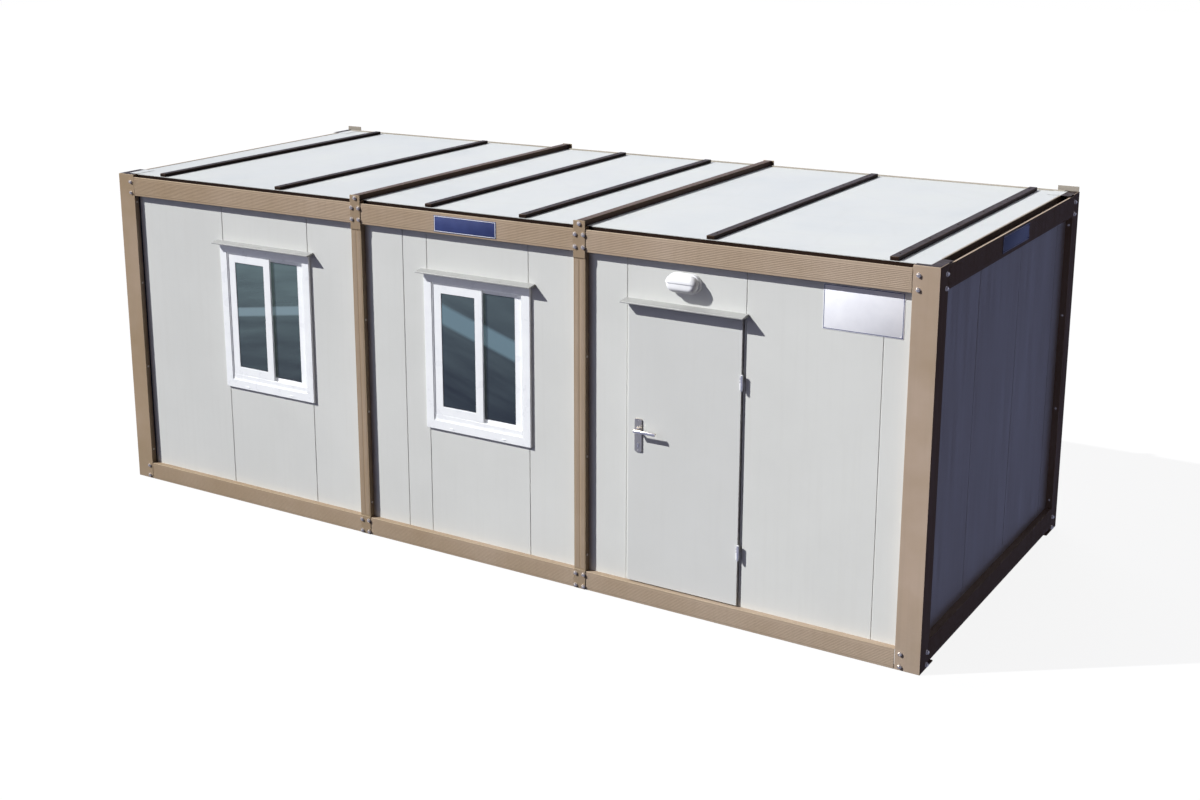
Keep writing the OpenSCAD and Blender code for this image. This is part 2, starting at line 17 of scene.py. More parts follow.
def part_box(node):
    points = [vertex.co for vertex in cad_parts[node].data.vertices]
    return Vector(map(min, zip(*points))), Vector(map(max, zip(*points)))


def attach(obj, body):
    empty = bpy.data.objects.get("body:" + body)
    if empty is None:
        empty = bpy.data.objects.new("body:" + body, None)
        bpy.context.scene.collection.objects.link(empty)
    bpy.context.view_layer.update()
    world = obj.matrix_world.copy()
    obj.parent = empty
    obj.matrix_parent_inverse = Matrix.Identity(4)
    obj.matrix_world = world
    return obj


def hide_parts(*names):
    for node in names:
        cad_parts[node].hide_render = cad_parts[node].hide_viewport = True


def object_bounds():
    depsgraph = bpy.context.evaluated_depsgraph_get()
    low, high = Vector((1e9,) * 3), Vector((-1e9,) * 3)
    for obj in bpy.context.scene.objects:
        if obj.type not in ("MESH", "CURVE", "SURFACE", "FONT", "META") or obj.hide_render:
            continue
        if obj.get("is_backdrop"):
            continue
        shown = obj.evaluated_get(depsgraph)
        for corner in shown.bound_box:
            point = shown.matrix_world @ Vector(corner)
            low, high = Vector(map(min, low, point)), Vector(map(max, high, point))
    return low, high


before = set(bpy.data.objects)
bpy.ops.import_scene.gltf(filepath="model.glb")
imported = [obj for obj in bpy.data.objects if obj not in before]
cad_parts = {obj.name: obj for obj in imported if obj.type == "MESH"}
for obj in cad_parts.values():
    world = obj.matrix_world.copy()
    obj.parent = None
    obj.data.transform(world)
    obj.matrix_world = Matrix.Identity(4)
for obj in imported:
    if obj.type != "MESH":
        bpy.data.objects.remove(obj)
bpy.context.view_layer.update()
scene = bpy.context.scene

# %% [markdown]
# ## Camera
# The cabin is seen from its front right corner and from a little above. A camera could be aimed
# with a constraint, but a matrix made from its turn, drop and tilt says exactly where it looks.
# The lens is shifted a little, because the cabin sits left of the picture's middle and above it.

# %% Camera
turn, drop, tilt = radians(34.32), radians(13.83), radians(-0.78)
ahead = Vector((-sin(turn) * cos(drop), cos(turn) * cos(drop), -sin(drop)))
level = Vector((cos(turn), sin(turn), 0))
across = level * cos(tilt) + level.cross(ahead) * sin(tilt)
camera = bpy.data.objects.new("camera", bpy.data.cameras.new("camera"))
scene.collection.objects.link(camera)
pose = Matrix((across, across.cross(ahead), -ahead)).transposed().to_4x4()
pose.translation = (6.65, -10.77, 4.81)
camera.matrix_world = pose
camera.data.sensor_width = 36
camera.data.lens = 48.77
camera.data.shift_x, camera.data.shift_y = 0.083, -0.083
scene.camera = camera
print("camera at", [round(v, 2) for v in pose.translation])

# %% [markdown]
# ## Helpers for shader nodes
# Colours are written as sRGB hex values, as on a paint card, and one function makes them linear.
# One other function adds a node of any kind: its options are named arguments, and its inputs are
# a dictionary of values or of other nodes' outputs. A third starts a material.

# %% Colour and node helpers
def linear(card):
    """Turn an sRGB hex colour into the linear numbers that shaders use."""
    parts = [int(card[i:i + 2], 16) / 255 for i in (1, 3, 5)]
    return [p / 12.92 if p <= 0.04045 else ((p + 0.055) / 1.055) ** 2.4 for p in parts] + [1.0]


def add(tree, kind, inputs=None, stops=None, **options):
    """Add one shader node with its options, its inputs and, for a ramp, its colour stops."""
    node = tree.nodes.new("ShaderNode" + kind)
    for name, value in options.items():
        setattr(node, name, value)
    for socket, value in (inputs or {}).items():
        if isinstance(value, bpy.types.NodeSocket):
            tree.links.new(value, node.inputs[socket])
        else:
            node.inputs[socket].default_value = value
    for i, (place, card) in enumerate(stops or []):
        colours = node.color_ramp.elements
        stop = colours[i] if i < len(colours) else colours.new(place)
        stop.position, stop.color = place, linear(card)
    return node


def new_finish(name, **sockets):
    """Start a material: give back its tree, its shader and the object coordinates."""
    finish = bpy.data.materials.new(name)
    finish.use_nodes = True
    shader = finish.node_tree.nodes["Principled BSDF"]
    for socket, value in sockets.items():
        shader.inputs[socket.replace("_", " ")].default_value = value
    place = add(finish.node_tree, "TexCoord").outputs["Object"]
    return finish, finish.node_tree, shader, place


# %% [markdown]
# ## Short names for the common nodes
# Every finish is the same few steps: noise, a stretch of its range, a mix of two colours and a
# bump. Each step has a short name here, so a finish reads as a list of what lies on the surface.

# %% Common nodes
def noise(tree, place, scale, detail, rough=0.5):
    """Soft noise: how many clouds to a metre, how many finer layers, and how strong those are."""
    return add(tree, "TexNoise", {"Vector": place, "Scale": scale, "Detail": detail,
                                  "Roughness": rough}).outputs["Fac"]


def stretched(tree, place, scale):
    """Scale the coordinates by a different amount along each axis."""
    return add(tree, "Mapping", {"Vector": place, "Scale": scale}).outputs["Vector"]


def remap(tree, value, low, high, to_low, to_high):
    """Stretch a value from one range to another; it stops at the ends."""
    return add(tree, "MapRange", {"Value": value, "From Min": low, "From Max": high,
                                  "To Min": to_low, "To Max": to_high}).outputs["Result"]


def sums(tree, operation, *values, clamp=False):
    """One step of arithmetic on sockets or numbers."""
    return add(tree, "Math", dict(enumerate(values)), operation=operation,
               use_clamp=clamp).outputs[0]


def ramp(tree, value, *stops):
    """Turn a grey value into a colour, from stops of a place and a paint card."""
    return add(tree, "ValToRGB", {"Fac": value}, stops=stops).outputs["Color"]


def blend(tree, amount, under, over):
    """Lay one colour over another."""
    return add(tree, "Mix", {0: amount, 6: under, 7: over}, data_type="RGBA").outputs[2]


def bump(tree, height, strength, distance, under=None):
    """A bump of a real depth, on top of another one if there is one."""
    inputs = {"Height": height, "Strength": strength, "Distance": distance}
    return add(tree, "Bump", {**inputs, "Normal": under} if under else inputs).outputs["Normal"]


def wire(tree, shader, **sockets):
    """Plug outputs into the shader's sockets."""
    for socket, value in sockets.items():
        tree.links.new(value, shader.inputs[socket.replace("_", " ")])


# %% [markdown]
# ## Light
# Real cabins of this kind are pictured in low sun: the front is bright, the shadows are crisp and
# the right end lies in deep shade. One sun lamp with a small disc gives the crisp shadows. A wide,
# soft and bluish lamp from the front left opens them, and another falls on the rear from above.
# Both keep off the right end. A textured sky could light it all, but the world is three plain
# tones: a dim one that lights, a bluish one that only shiny things mirror, and white behind.

# %% Light
def far_lamp(name, towards, strength, disc, card):
    """Add a distant lamp that shines along a direction; a bigger disc gives softer shadows."""
    lamp = bpy.data.lights.new(name, "SUN")
    lamp.energy, lamp.angle, lamp.color = strength, radians(disc), linear(card)[:3]
    holder = bpy.data.objects.new(name, lamp)
    holder.rotation_euler = Vector(towards).to_track_quat("-Z", "Y").to_euler()
    scene.collection.objects.link(holder)


far_lamp("low_sun", (1.28, 1.0, -1.25), strength=5.3, disc=0.8, card="#FCFDFF")
far_lamp("soft_front", (0.7, 1.0, -0.4), strength=0.55, disc=50, card="#D9E0FF")
far_lamp("soft_rear", (0.5, -1.0, -1.0), strength=1.35, disc=50, card="#F6F7FF")

world = bpy.data.worlds.new("studio")
world.use_nodes = True
scene.world = world
sky = world.node_tree
dim, mirrored, paper = [add(sky, "Background", {"Color": linear(card)}).outputs[0]
                        for card in ("#352F35", "#8690BA", "#FFFFFF")]
rays = add(sky, "LightPath").outputs
lit = add(sky, "MixShader", {0: rays["Is Glossy Ray"], 1: dim, 2: mirrored}).outputs[0]
seen = add(sky, "MixShader", {0: rays["Is Camera Ray"], 1: lit, 2: paper}).outputs[0]
sky.links.new(seen, sky.nodes["World Output"].inputs["Surface"])
scene.view_settings.view_transform = "Standard"
print("lamps:", [lamp.name for lamp in bpy.data.lights])

# %% [markdown]
# ## Floor
# A floor of plain paint would catch a hard dark shadow and throw light back up into the shade.
# So this one is a tenth paint and the rest glow, and only the camera's own rays see it.

# %% Floor
FLOOR_HALF, PAINT_SHARE = 60, 0.10
bm = bmesh.new()
bmesh.ops.create_grid(bm, x_segments=8, y_segments=8, size=FLOOR_HALF)
floor_mesh = bpy.data.meshes.new("studio_floor")
bm.to_mesh(floor_mesh)
bm.free()
floor = bpy.data.objects.new("studio_floor", floor_mesh)
scene.collection.objects.link(floor)
finish, tree, shader, place = new_finish("painted studio floor", Roughness=0.9)
wire(tree, shader, Base_Color=ramp(tree, noise(tree, place, 0.8, 3.0),
                                   (0.3, "#F2F2F3"), (0.7, "#F8F8F8")))
glow = add(tree, "Emission", {"Color": (1, 1, 1, 1), "Strength": 1.0}).outputs[0]
mixed = add(tree, "MixShader", {0: PAINT_SHARE, 1: glow, 2: shader.outputs[0]}).outputs[0]
tree.links.new(mixed, tree.nodes["Material Output"].inputs["Surface"])
floor_mesh.materials.append(finish)
floor.visible_diffuse = floor.visible_glossy = floor.visible_transmission = False
floor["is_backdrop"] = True
print("floor half width", FLOOR_HALF, "m")

# %% [markdown]
# ## Painted steel
# The frame is folded steel with a beige powder coat, and the wall and roof panels are coil coated
# sheet. Both are paint on steel, so one function makes them all from a paint card and a darker
# card. Paint is never one flat tone: it clouds a little over a metre and grows lighter from the
# left end to the right end, rain leaves thin upright streaks of dust, splashes collect near the
# ground, and corners rub lighter: edges that get rounded further on carry an attribute, and the
# rubbed tone follows it. Orange peel is really about 2 mm wide; it is drawn 12 mm wide, to show
# from across a yard.

# %% Painted steel
HALF_LENGTH, SPLASH_HEIGHT, PEEL_WIDTH = 3.5, 0.5, 0.012


def painted_steel(name, card, deep, dust, rubbed, rough=0.5, streaks=0.2, splash=0.5, ripple=0.4,
                  shine=0.5):
    """Paint on steel: clouds, rain streaks, splashes, rubbed edges, orange peel, soft ripples."""
    finish, tree, shader, place = new_finish(name, Specular_IOR_Level=shine)
    axes = add(tree, "SeparateXYZ", {"Vector": place}).outputs
    # The colour grows lighter from the left end (x = -3.5) to the right end (x = 3.5).
    left_to_right_tone = remap(tree, axes["X"], -HALF_LENGTH, HALF_LENGTH, -0.2, 0.2)
    tone = ramp(tree, sums(tree, "ADD", noise(tree, place, 1.3, 4.0, 0.6), left_to_right_tone, clamp=True),
                (0.25, deep), (0.75, card))
    streak = noise(tree, stretched(tree, place, (24.0, 24.0, 1.1)), 1.0, 5.0)
    rained = blend(tree, remap(tree, streak, 0.5, 0.8, 0.0, streaks), tone, linear(dust))
    low = remap(tree, axes["Z"], 0.0, SPLASH_HEIGHT, splash, 0.0)
    speck = noise(tree, place, 38.0, 6.0, 0.7)
    dirty = blend(tree, sums(tree, "MULTIPLY", low, speck, clamp=True), rained, linear(dust))
    edge = add(tree, "Attribute", attribute_name="rounded_edge").outputs["Fac"]
    rub = sums(tree, "MULTIPLY", edge, remap(tree, speck, 0.35, 0.65, 0.25, 0.9))
    sheet = bump(tree, noise(tree, place, 2.2, 1.0), ripple, 0.004)
    peel = bump(tree, noise(tree, place, 1 / PEEL_WIDTH, 2.0), 0.12, 0.001, sheet)
    wire(tree, shader, Base_Color=blend(tree, rub, dirty, linear(rubbed)), Normal=peel,
         Roughness=remap(tree, streak, 0.3, 0.7, rough - 0.06, rough + 0.1))
    return finish


beige_coat = painted_steel("beige powder coat", "#B4A08D", "#9E896E", "#8F8372", "#C9BAA2",
                           shine=0.02)
column_coat = painted_steel("beige powder coat on columns", "#9C8974", "#988368", "#85775F",
                            "#C2B293", shine=0.02)
beam_coat = painted_steel("beige coat on ribbed beams", "#B19E8A", "#A28D74", "#897B66",
                          "#C4B396", shine=0.02)
ledge_coat = painted_steel("pale grey beige coat on flashings", "#ABA396", "#9F9789", "#8B8477",
                           "#C2BAAB", shine=0.02)
grey_coat = painted_steel("light grey coil coat", "#DBDBD4", "#D3D3CC", "#BDBAB0", "#DEDEDA",
                          rough=0.4, streaks=0.09, splash=0.2, ripple=0.5)
door_coat = painted_steel("light grey coil coat on the leaf", "#D6D6D0", "#D0D0C9", "#BBB8B0",
                          "#E2E2DE", rough=0.38, streaks=0.06, splash=0.15)
# The hoods' grey is darkened as painted shade, so their sunlit tops read like tops in less sun.
hood_coat_painted_shade = painted_steel("grey folded hood, darkened as painted shade", "#A6A6A2", "#9F9F9B", "#92908A", "#CBCBC8",
                          rough=0.4, splash=0.0, shine=0.2)
brown_coat = painted_steel("dark brown seam coat", "#2B1D15", "#231710", "#3A2E25", "#5E4C3A",
                           streaks=0.12, splash=0.0, shine=0.08)
# The cross caps' brown is painted shade: it stands in for the top of the beige cross beams lying
# in shadow.
cross_coat_painted_shade = painted_steel("brown column line coat, painted shade", "#5E4A3A", "#4E3D30", "#4A3E33", "#A08C73",
                           splash=0.0, shine=0.08)
print("paints:", [m.name for m in bpy.data.materials if "coat" in m.name])

# %% [markdown]
# ## Roof sheet
# The roof sheets are nearly white and lie flat, so rain dries on them and leaves rings and soft
# grey patches. The wall's upright streaks would be wrong here, so the roof gets a short list of
# its own, in which the edges of a cell pattern draw the dried rings.

# %% Roof sheet
roof_coat, tree, shader, place = new_finish("off-white coil coated roof sheet",
                                            Specular_IOR_Level=0.15)
patch = noise(tree, place, 1.7, 6.0, 0.62)
tone = ramp(tree, patch, (0.3, "#C0C3BF"), (0.52, "#C5C7C2"), (0.75, "#C8CAC3"))
ring = add(tree, "TexVoronoi", {"Vector": place, "Scale": 1.9},
           feature="DISTANCE_TO_EDGE").outputs["Distance"]
dried = remap(tree, ring, 0.0, 0.05, 0.05, 0.0)
wire(tree, shader, Base_Color=blend(tree, dried, tone, linear("#A9A79C")),
     Roughness=remap(tree, patch, 0.0, 1.0, 0.32, 0.55),
     Normal=bump(tree, noise(tree, place, 1 / 0.014, 2.0), 0.15, 0.001))
print("made", roof_coat.name)

# %% [markdown]
# ## White PVC
# Window frames are extruded PVC: white, smooth and slightly glossy, with a fine grain and a
# little dust in the tracks. A weak bluish glow of its own colour is painted light: it keeps the
# PVC bright in its own shade.

# %% White PVC
# The emission is a painted glow that brightens the PVC where it lies in shade.
white_pvc, tree, shader, place = new_finish("extruded white PVC with painted glow", IOR=1.53, Emission_Strength=0.09,
                                            Emission_Color=linear("#EEF1FA"))
cloud, speck = noise(tree, place, 9.0, 4.0), noise(tree, place, 60.0, 4.0, 0.7)
tone = ramp(tree, cloud, (0.3, "#EAEBEA"), (0.7, "#F1F2EF"))
dust = remap(tree, speck, 0.55, 0.75, 0.0, 0.12)
wire(tree, shader, Base_Color=blend(tree, dust, tone, linear("#C9C6BD")),
     Roughness=remap(tree, cloud, 0.0, 1.0, 0.22, 0.36), Normal=bump(tree, speck, 0.05, 0.0005))
print("made", white_pvc.name)

# %% [markdown]
# ## Glass
# The glass is tinted nearly black green and carries a painted reflection of the yard in front of
# the cabin, with long soft shapes and a pale painted line. A plain mirror would show an empty
# studio, so that reflection is painted into the glass, as noise that is stretched along X and one
# band that slopes across both panes, and it also glows faintly. A third of the light goes through
# to the dim room.

# %% Tinted glass
GLASS_FOOT, GLASS_HEIGHT = 1.04, 1.1


def glass_with_painted_reflection(name, top, bottom, band, slope, middle, half):
    """Green-grey glass with a painted reflection that also glows: lighter at the top, long soft
    shapes and one sloping pale band.
    """
    finish, tree, shader, place = new_finish(name, Roughness=0.04, IOR=1.52,
                                             Transmission_Weight=0.35, Coat_Weight=0.5,
                                             Emission_Strength=0.45)
    axes = add(tree, "SeparateXYZ", {"Vector": place}).outputs
    height = remap(tree, axes["Z"], GLASS_FOOT, GLASS_FOOT + GLASS_HEIGHT, 0.0, 1.0)
    lean = sums(tree, "MULTIPLY_ADD", axes["X"], slope, axes["Z"])
    lying = add(tree, "CombineXYZ", {"X": axes["X"], "Z": lean}).outputs[0]
    cloud = noise(tree, stretched(tree, lying, (1.1, 1.0, 7.5)), 1.0, 5.0, 0.55)
    lift = sums(tree, "MULTIPLY_ADD", cloud, 1.3, -0.65)
    tone = blend(tree, sums(tree, "ADD", height, lift, clamp=True), linear(bottom), linear(top))
    off = sums(tree, "ABSOLUTE", sums(tree, "SUBTRACT", lean, middle))
    colour = blend(tree, remap(tree, off, half * 0.8, half * 1.2, 0.85, 0.0), tone, linear(band))
    # The painted reflection is also the glow's colour, so it shows in shade as well.
    wire(tree, shader, Base_Color=colour, Emission_Color=colour)
    return finish


# The painted reflection's band rises to the right in the left window and falls in the right one.
left_glass = glass_with_painted_reflection("tinted glass with painted reflection, left", "#5B6B6A", "#2E3434", "#788A8F",
                          slope=-0.14, middle=1.93, half=0.035)
right_glass = glass_with_painted_reflection("tinted glass with painted reflection, right", "#4C5859", "#181D21", "#667C84",
                           slope=0.32, middle=1.79, half=0.075)
print("made", left_glass.name, "and", right_glass.name)

# %% [markdown]
# ## Bare and plated steel
# Bolts are zinc plated, so they are bright with a patchy grain. The handle is brushed stainless
# steel: its scratches run along the plate, so the noise is stretched that way. Hinges are satin.

# %% Metals
def metal(name, card, deep, rough, stretch, fine):
    """Bare or plated metal with a grain that is stretched along one direction."""
    finish, tree, shader, place = new_finish(name, Metallic=1.0)
    grain = noise(tree, stretched(tree, place, stretch), fine, 5.0)
    wire(tree, shader, Base_Color=ramp(tree, grain, (0.3, deep), (0.7, card)),
         Roughness=remap(tree, grain, 0.0, 1.0, rough - 0.1, rough + 0.12),
         Normal=bump(tree, grain, 0.2, 0.0005))
    return finish


zinc = metal("bright zinc plating", "#F4E9D6", "#C2B7A4", 0.38, (1, 1, 1), 140.0)
brushed = metal("brushed stainless steel", "#D6CCB8", "#B1A896", 0.38, (3, 3, 0.12), 220.0)
lever_steel = metal("polished stainless steel", "#EEE6D8", "#DAD1C2", 0.32, (0.15, 3, 3), 160.0)
hinge_plate = metal("satin plated hinge steel", "#E2DFD8", "#C9C6BE", 0.5, (1, 1, 0.3), 120.0)
print("made", zinc.name, "and three more metals")

# %% [markdown]
# ## Rubber, plastics and plates
# Seals are black EPDM rubber, the lamp is moulded ABS with a frosted polycarbonate lens, and the
# blank plates are enamelled. They differ in tone, gloss and grain, so one function makes them:
# slow clouds for the tone, and a fine skin whose grain is given in millimetres.

# %% Moulded things
def moulded(name, card, deep, rough, grain_mm, depth=0.1, **sockets):
    """A moulded plastic or rubber with a fine skin texture of a given grain."""
    finish, tree, shader, place = new_finish(name, **sockets)
    cloud = noise(tree, place, 12.0, 3.0)
    wire(tree, shader, Base_Color=ramp(tree, cloud, (0.3, deep), (0.7, card)),
         Roughness=remap(tree, cloud, 0.0, 1.0, rough - 0.08, rough + 0.08),
         Normal=bump(tree, noise(tree, place, 1000 / grain_mm, 3.0), depth, 0.0005))
    return finish


rubber = moulded("black EPDM rubber", "#1D1D1E", "#141415", 0.65, 2.0)
lamp_white = moulded("moulded white ABS", "#FBFBFA", "#F3F3F2", 0.55, 3.0)
lamp_frost = moulded("frosted polycarbonate", "#FFFFFE", "#F7F7F5", 0.4, 4.0)
blank_white = moulded("blank enamelled plate, white", "#F3F3F5", "#ECECEF", 0.5, 5.0, 0.05,
                      Specular_IOR_Level=0.2)
blank_blue = moulded("blank enamelled plate, blue grey", "#34406F", "#2C3662", 0.45, 5.0)
print("made", rubber.name, "and four more mouldings")

# %% [markdown]
# ## Floor covering
# The deck is covered with grey sheet vinyl, which shows through the open door. Its fleck of about
# 8 mm hides scuffs: small pale dots from a cell pattern over slow grey clouds.

# %% Sheet vinyl
FLECK = 0.008
vinyl, tree, shader, place = new_finish("flecked grey sheet vinyl", Roughness=0.5)
fleck = add(tree, "TexVoronoi", {"Vector": place, "Scale": 1 / FLECK}).outputs["Distance"]
base = ramp(tree, noise(tree, place, 2.0, 4.0), (0.3, "#8E8A83"), (0.7, "#9C9891"))
dots = remap(tree, fleck, 0.1, 0.5, 0.4, 0.0)
wire(tree, shader, Base_Color=blend(tree, dots, base, linear("#C7C3BA")),
     Normal=bump(tree, fleck, 0.1, 0.001))
print("made", vinyl.name)

# %% [markdown]
# ## Helpers for meshes
# Every new piece starts from bmesh operators. `place_piece` turns a finished bmesh into an
# object, gives it its finish, and lets it ride on its body. `bar` makes a box with rounded edges
# between two corners. A mesh keeps its place in its points, so its object stays at the origin.

# %% Mesh helpers
def place_piece(name, bm, finish, body="root", smooth=0):
    """Make an object from a bmesh and tell the frame what it rides on."""
    mesh = bpy.data.meshes.new(name)
    bm.to_mesh(mesh)
    bm.free()
    mesh.materials.append(finish)
    if smooth:
        mesh.shade_smooth()
        mesh.set_sharp_from_angle(angle=radians(smooth))
    piece = bpy.data.objects.new(name, mesh)
    scene.collection.objects.link(piece)
    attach(piece, body)
    print(name, "has", len(mesh.polygons), "faces")
    return piece


def round_edges(bm, edges, width, segments=2):
    """Round some edges; the narrow new faces are marked, so paint can look rubbed on them."""
    mark = bm.faces.layers.float.get("rounded_edge") or bm.faces.layers.float.new("rounded_edge")
    made = bmesh.ops.bevel(bm, geom=edges, offset=width, segments=segments, profile=0.5,
                           affect="EDGES", clamp_overlap=True, material=-1)
    for face in made["faces"]:
        face[mark] = 1.0
        face.smooth = True


def bar(bm, one, other, soft):
    """Add a box between two opposite corners to a bmesh, with its edges rounded."""
    low = Vector([min(pair) for pair in zip(one, other)])
    high = Vector([max(pair) for pair in zip(one, other)])
    place = Matrix.Translation((low + high) / 2) @ Matrix.Diagonal((*(high - low), 1))
    points = bmesh.ops.create_cube(bm, size=1, matrix=place)["verts"]
    round_edges(bm, list({e for p in points for e in p.link_edges}), soft)


def facing(spot, out):
    """A matrix that puts a shape's z axis along a direction, at a spot."""
    return Matrix.Translation(spot) @ Vector(out).to_track_quat("Z", "Y").to_matrix().to_4x4()


def post(bm, start, out, depth, radius, tip_radius, sides):
    """Add a closed round or many-sided post that stands on a spot and points outwards."""
    return bmesh.ops.create_cone(bm, cap_ends=True, segments=sides, radius1=radius,
                                 radius2=tip_radius, depth=depth,
                                 matrix=facing(start + out * depth / 2, out))["verts"]


# %% [markdown]
# ## Rounded steel, PVC and sheet edges
# Folded steel has no knife edges: each fold has a radius of about its own thickness, and that
# radius catches a thin line of light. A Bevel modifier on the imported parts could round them, but
# their meshes are loose triangles. So each is copied, its doubles are merged, its flat triangles
# are dissolved, and only edges sharper than 30 degrees are rounded. The copy stands for the part.

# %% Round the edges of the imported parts
WELD_DIST = 1e-5


def softened(part, finish, width, body="root", ends=0.0):
    """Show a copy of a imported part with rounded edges; ends also rounds its outline from -Y."""
    bm = bmesh.new()
    bm.from_mesh(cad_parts[part].data)
    bmesh.ops.remove_doubles(bm, verts=bm.verts, dist=WELD_DIST)
    bmesh.ops.dissolve_limit(bm, angle_limit=radians(1), verts=bm.verts, edges=bm.edges)
    if ends:
        across = [e for e in bm.edges if len(e.link_faces) == 2
                  and e.calc_face_angle() > radians(80)
                  and abs((e.verts[0].co - e.verts[1].co).normalized().y) > 0.99]
        round_edges(bm, across, ends, segments=5)
    sharp = [e for e in bm.edges if len(e.link_faces) == 2 and e.calc_face_angle() > radians(30)]
    round_edges(bm, sharp, width)
    piece = place_piece("rounded_" + part, bm, finish, body)
    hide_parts(part)


corners = ["front_left", "front_right", "rear_left", "rear_right"]
for corner in corners:
    softened("post_" + corner, beige_coat, 0.003)
    softened("column_" + corner, column_coat, 0.0025)
for side in ("front", "rear", "left", "right"):
    softened("roof_beam_" + side, beam_coat, 0.0025)
    softened("base_beam_" + side, beam_coat, 0.0025)
softened("column_plates", column_coat, 0.0018)
softened("roof_seam_caps", brown_coat, 0.004)
softened("roof_cross_caps", cross_coat_painted_shade, 0.002)
for part in ("left_frame", "left_sashes", "right_frame", "right_sashes"):
    softened("window_" + part, white_pvc, 0.0025)
softened("window_hoods", hood_coat_painted_shade, 0.002)
softened("door_hood", hood_coat_painted_shade, 0.002)
softened("door_frame", grey_coat, 0.0015)
softened("door_leaf", door_coat, 0.0025, "door")
softened("handle_plates", brushed, 0.0015, "door", ends=0.012)
softened("door_lever", lever_steel, 0.0055, "handle")

# %% [markdown]
# ## Finishes for the parts that stay as packed
# Wall panels already have their chamfers and fine joints, and flat things need no more shape. A
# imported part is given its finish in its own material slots, and is never moved or changed.

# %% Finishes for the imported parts
packed_finishes = {
    grey_coat: ["wall_front_left_bay", "wall_front_middle_bay", "wall_front_door_bay",
                "wall_rear", "wall_left", "wall_right"],
    roof_coat: ["roof_panels"],
    beige_coat: ["floor_joists"],
    vinyl: ["floor_deck"],
    hinge_plate: ["hinge_pins", "hinge_knuckles"],
    left_glass: ["window_left_glass"],
    right_glass: ["window_right_glass"],
}
for finish, parts in packed_finishes.items():
    for part in parts:
        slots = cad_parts[part].data.materials
        slots.clear()
        slots.append(finish)
print("finished as packed:", sum(len(parts) for parts in packed_finishes.values()), "parts")

# %% [markdown]
# ## Main lines of the frame
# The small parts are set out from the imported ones. The lines that are used again and again are
# read once here: the outer faces, the bays, the column lines, and each corner and its direction.

# %% Main lines
post_low, post_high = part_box("post_front_right")
column_low, column_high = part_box("column_front_right")
plates_low, plates_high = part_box("column_plates")
roof_low, roof_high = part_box("roof_panels")
half_l, half_w = post_high.x, -post_low.y
column_mid = (column_low.x + column_high.x) / 2
bays = [(-post_low.x, -column_high.x), (-column_low.x, column_low.x), (column_high.x, post_low.x)]
corner_posts = []
for corner in corners:
    low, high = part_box("post_" + corner)
    corner_posts.append((low, high, 1 if low.x > 0 else -1, 1 if low.y > 0 else -1))
print("half length", round(half_l, 3), "half width", round(half_w, 3), "bays", len(bays))

# %% [markdown]
# ## Pressed ribs
# The beams and columns are rolled with fine ribs along their faces, which stiffen the thin
# sheet and keep it from rippling. At this size they read as a faint shimmer. A bump could fake
# them, but a low grid whose rows go in and out by a millimetre is real and costs little.

# %% Ribs on the beams and columns
RIB_PITCH, RIB_DEPTH, RIB_FOOT, RIB_SHEET = 0.011, 0.0016, 0.0001, 0.0004
BEAM_MARGIN, BAY_MARGIN = 0.016, 0.004
COLUMN_RIB_IN, COLUMN_RIB_OUT, COLUMN_RIB_TOP, COLUMN_RIB_L = 0.006, 0.036, 2.42, 2.26


def ribs(bm, spot, along, across, out):
    """Add a ribbed face: its corner, its two edges as vectors, and the way it faces."""
    spot, along, across, out = Vector(spot), Vector(along), Vector(across), Vector(out)
    rows = 2 * round(across.length / RIB_PITCH)
    place = Matrix.Translation(spot + (along + across) / 2) @ Matrix(
        (along.normalized(), across.normalized(), out)).transposed().to_4x4()
    points = bmesh.ops.create_grid(bm, x_segments=1, y_segments=rows, size=0.5)["verts"]
    for point in points:
        row = round((point.co.y + 0.5) * rows)
        raised = 0 < row < rows and row % 2
        point.co = place @ Vector((point.co.x * along.length, point.co.y * across.length,
                                   RIB_DEPTH if raised else RIB_FOOT))


bm = bmesh.new()
for level in ("roof_beam_", "base_beam_"):
    for side, way in (("front", -1), ("rear", 1)):
        low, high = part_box(level + side)
        height = (0, 0, high.z - low.z - 2 * BEAM_MARGIN)
        for x0, x1 in bays:
            start = (x0 if way < 0 else x1) - way * BAY_MARGIN
            ribs(bm, (start, half_w * way, low.z + BEAM_MARGIN),
                 (-way * (x1 - x0 - 2 * BAY_MARGIN), 0, 0), height, (0, way, 0))
    for side, way in (("left", -1), ("right", 1)):
        low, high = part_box(level + side)
        ribs(bm, (half_l * way, low.y * way, low.z + BEAM_MARGIN),
             (0, (high.y - low.y) * way, 0), (0, 0, high.z - low.z - 2 * BEAM_MARGIN), (way, 0, 0))
for way in (-1, 1):
    for centre in (-column_mid, column_mid):
        for x0, x1 in ((centre - COLUMN_RIB_OUT, centre - COLUMN_RIB_IN),
                       (centre + COLUMN_RIB_IN, centre + COLUMN_RIB_OUT)):
            ribs(bm, (x0 if way < 0 else x1, half_w * way, COLUMN_RIB_TOP), (0, 0, -COLUMN_RIB_L),
                 (-way * (x1 - x0), 0, 0), (0, way, 0))
bmesh.ops.solidify(bm, geom=list(bm.faces), thickness=RIB_SHEET)
bmesh.ops.recalc_face_normals(bm, faces=bm.faces)
place_piece("pressed_ribs", bm, beam_coat)

# %% [markdown]
# ## Bolts
# The frame is bolted together: each post is held to the beams by pairs of bolts with hexagon
# heads on washers, and each column plate by four or five. They catch the sun and throw a small
# shadow, so they are modelled, not painted, with few faces each, because there are many.

# %% Hexagon bolts
WASHER_R, WASHER_T, HEAD_R, HEAD_T, HEAD_RIM, END_R, END_T = (0.016, 0.003, 0.0135, 0.009, 0.0018,
                                                              0.0065, 0.004)
POST_BOLT_HEIGHTS, BOLT_IN, END_BOLT_IN = (2.590, 2.500, 0.115, 0.028), 0.036, 0.115
PLATE_BOLTS = [(0, 2.670)] + [(dx, z) for z in (2.595, 2.508, 0.115, 0.024)
                              for dx in (-0.033, 0.033)]


